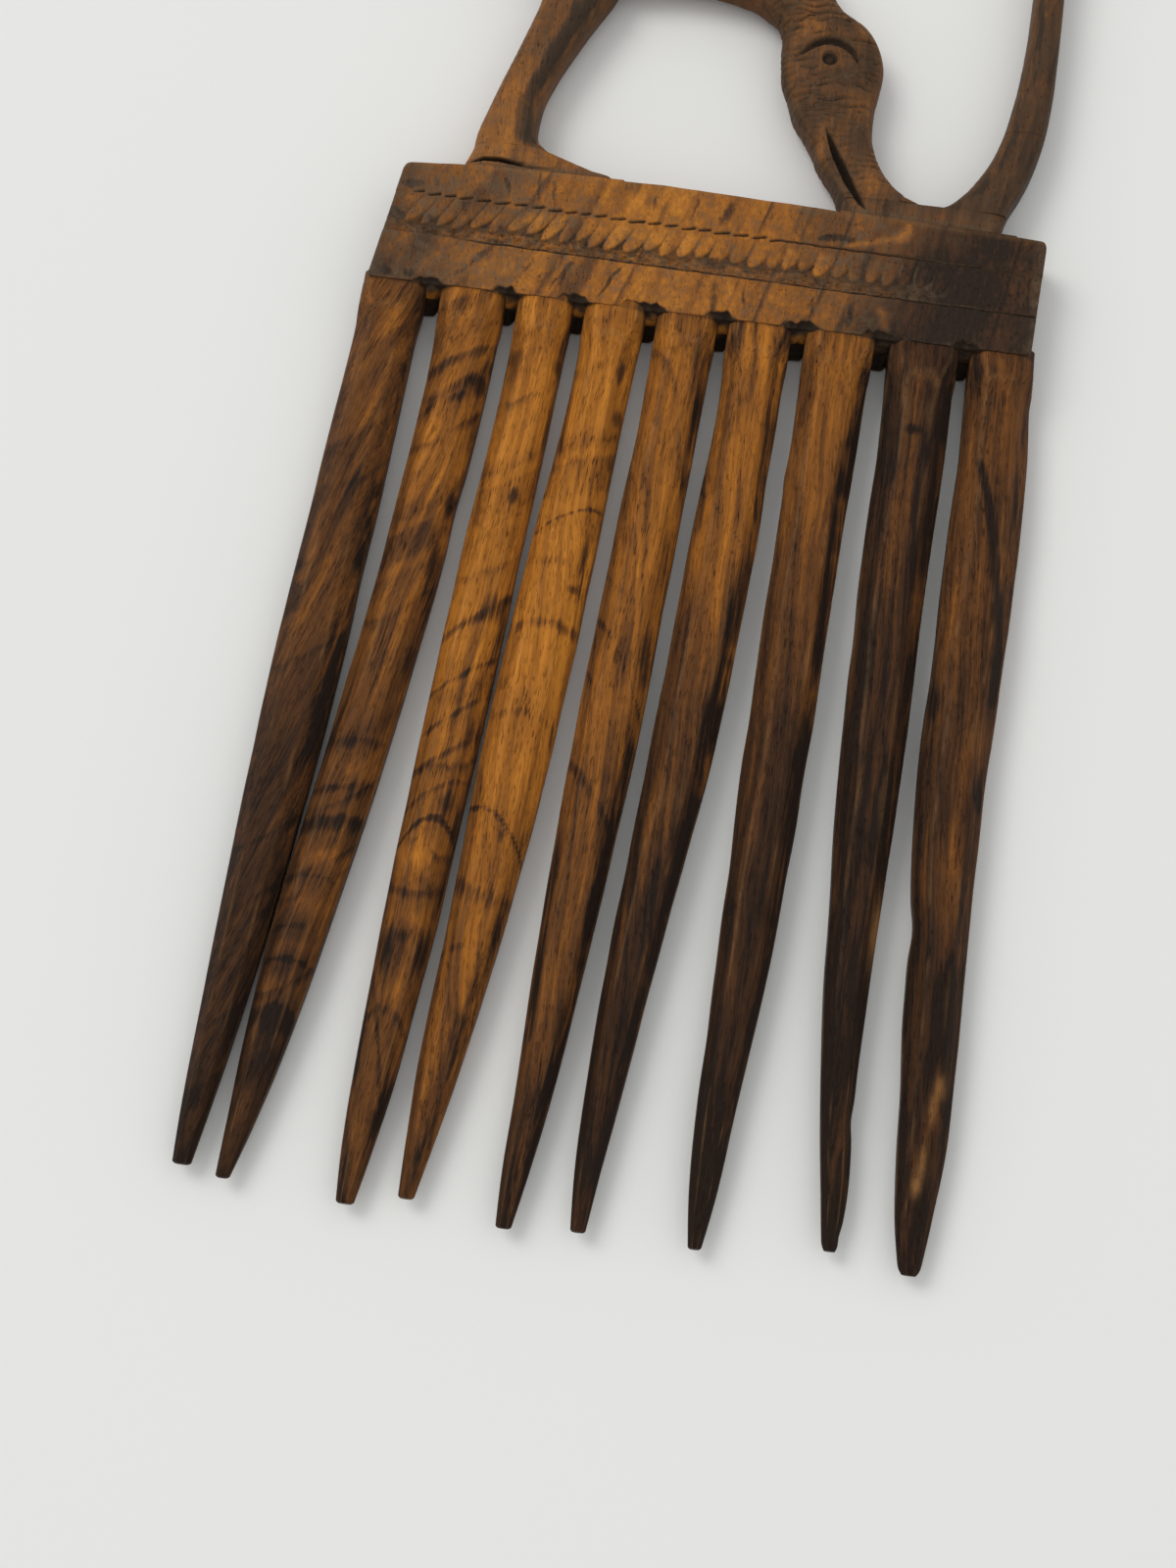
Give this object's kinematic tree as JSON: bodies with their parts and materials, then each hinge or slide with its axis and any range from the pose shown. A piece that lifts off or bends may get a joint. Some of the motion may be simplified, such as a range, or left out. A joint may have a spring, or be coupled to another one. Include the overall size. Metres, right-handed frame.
{
  "type": "afro pick",
  "caption": "Flat hand-carved wooden hair pick with long tapering tines, a notched bar and an openwork bird handle inside a hoop.",
  "frame": {"origin": "on the back face of the bar, at the middle of its length and height", "axes": "+X along the bar, +Y from the tines to the handle, +Z from the flat back to the carved front"},
  "size_m": [0.0849, 0.2069, 0.0065],
  "materials": {
    "bar_wood": "hand-rubbed, orange-brown heartwood with darker dirt in the carving",
    "tine_wood": "smooth and satin from use, boldly figured from orange to near black",
    "handle_wood": "satin, brown, knife-carved and worn at the edges"
  },
  "bodies": {
    "root": {"comb_bar": "bar_wood", "tine_1": "tine_wood", "tine_2": "tine_wood", "tine_3": "tine_wood", "tine_4": "tine_wood", "tine_5": "tine_wood", "tine_6": "tine_wood", "tine_7": "tine_wood", "tine_8": "tine_wood", "tine_9": "tine_wood", "foot": "handle_wood", "leg": "handle_wood", "base_web": "handle_wood", "beak": "handle_wood", "head": "handle_wood", "neck": "handle_wood", "body": "handle_wood", "tail": "handle_wood", "top_arch": "handle_wood", "side_strap": "handle_wood", "strap_root": "handle_wood"}
  },
  "joints": []
}
